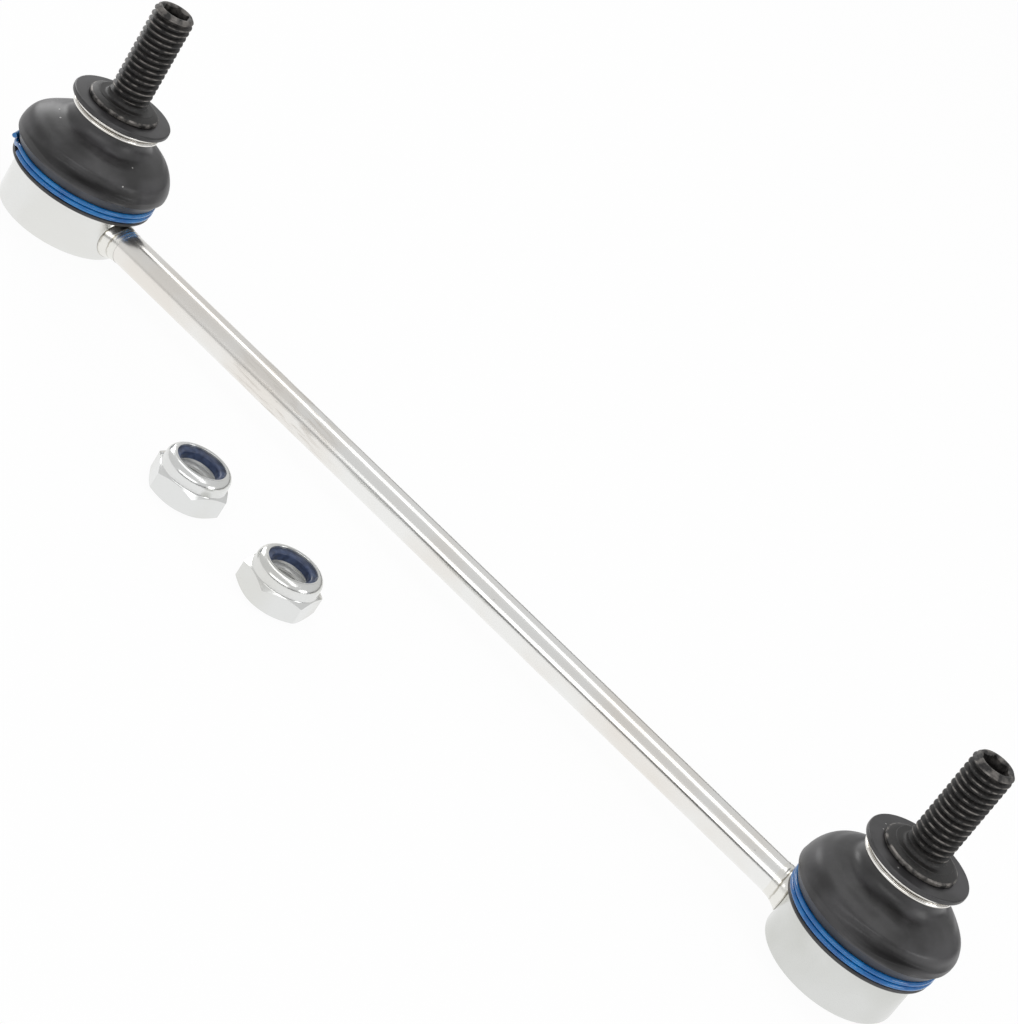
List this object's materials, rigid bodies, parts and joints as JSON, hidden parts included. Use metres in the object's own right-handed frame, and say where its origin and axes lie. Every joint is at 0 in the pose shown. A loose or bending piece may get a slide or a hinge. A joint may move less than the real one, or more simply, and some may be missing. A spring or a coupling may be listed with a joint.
{
  "type": "stabilizer link",
  "caption": "Straight stabilizer link: a round plated rod welded between booted ball joints whose threaded studs stand to one side, with loose nylon-insert lock nuts.",
  "frame": {"origin": "centre of the left housing's base ring, on the left stud's axis", "axes": "+X along the rod to the right housing, +Z along the studs, away from the base"},
  "size_m": [0.2899, 0.0808, 0.0599],
  "materials": {
    "zinc_steel": "bright zinc plating, smooth",
    "weld_steel": "zinc-plated weld metal, slightly rough",
    "dark_steel": "dark phosphated and oiled",
    "boot_rubber": "moulded, satin",
    "blue_wire": "blue coating, glossy",
    "bright_wire": "bright drawn wire",
    "acetal": "moulded, smooth",
    "nylon": "moulded, satin"
  },
  "bodies": {
    "link": {"link_rod": "zinc_steel", "left_housing": "zinc_steel", "left_cover_disc": "zinc_steel", "left_bearing_shell": "acetal", "left_weld_collar": "weld_steel", "left_lower_clamp_ring": "blue_wire", "right_housing": "zinc_steel", "right_cover_disc": "zinc_steel", "right_bearing_shell": "acetal", "right_weld_collar": "weld_steel", "right_lower_clamp_ring": "blue_wire"},
    "left_boot": {"left_dust_boot": "boot_rubber"},
    "left_clamp": {"left_upper_clamp_ring": "bright_wire"},
    "left_stud": {"left_ball_stud": "dark_steel"},
    "right_boot": {"right_dust_boot": "boot_rubber"},
    "right_clamp": {"right_upper_clamp_ring": "bright_wire"},
    "right_stud": {"right_ball_stud": "dark_steel"},
    "nut_1": {"lock_nut_1": "zinc_steel", "nut_insert_1": "nylon"},
    "nut_2": {"lock_nut_2": "zinc_steel", "nut_insert_2": "nylon"}
  },
  "joints": [
    {"name": "left_tilt_across", "type": "hinge", "parent": "link", "child": "left_boot", "pos_m": [0, 0, 0.01177], "axis": [1, 0, 0], "range_deg": [-20, 20], "deforming": ["left_dust_boot"]},
    {"name": "left_tilt_along", "type": "hinge", "parent": "left_boot", "child": "left_clamp", "pos_m": [0, 0, 0.01177], "axis": [0, 1, 0], "range_deg": [-20, 20], "deforming": ["left_dust_boot"]},
    {"name": "left_stud_turn", "type": "hinge", "parent": "left_clamp", "child": "left_stud", "pos_m": [0, 0, 0.01177], "axis": [0, 0, 1], "continuous": true},
    {"name": "right_tilt_across", "type": "hinge", "parent": "link", "child": "right_boot", "pos_m": [0.2515, 0, 0.01177], "axis": [1, 0, 0], "range_deg": [-20, 20], "deforming": ["right_dust_boot"]},
    {"name": "right_tilt_along", "type": "hinge", "parent": "right_boot", "child": "right_clamp", "pos_m": [0.2515, 0, 0.01177], "axis": [0, 1, 0], "range_deg": [-20, 20], "deforming": ["right_dust_boot"]},
    {"name": "right_stud_turn", "type": "hinge", "parent": "right_clamp", "child": "right_stud", "pos_m": [0.2515, 0, 0.01177], "axis": [0, 0, 1], "continuous": true},
    {"name": "nut_1_lift", "type": "slide", "parent": "link", "child": "nut_1", "axis": [0, 0, 1], "range_m": [0, 0.05]},
    {"name": "nut_2_lift", "type": "slide", "parent": "link", "child": "nut_2", "axis": [0, 0, 1], "range_m": [0, 0.05]}
  ]
}
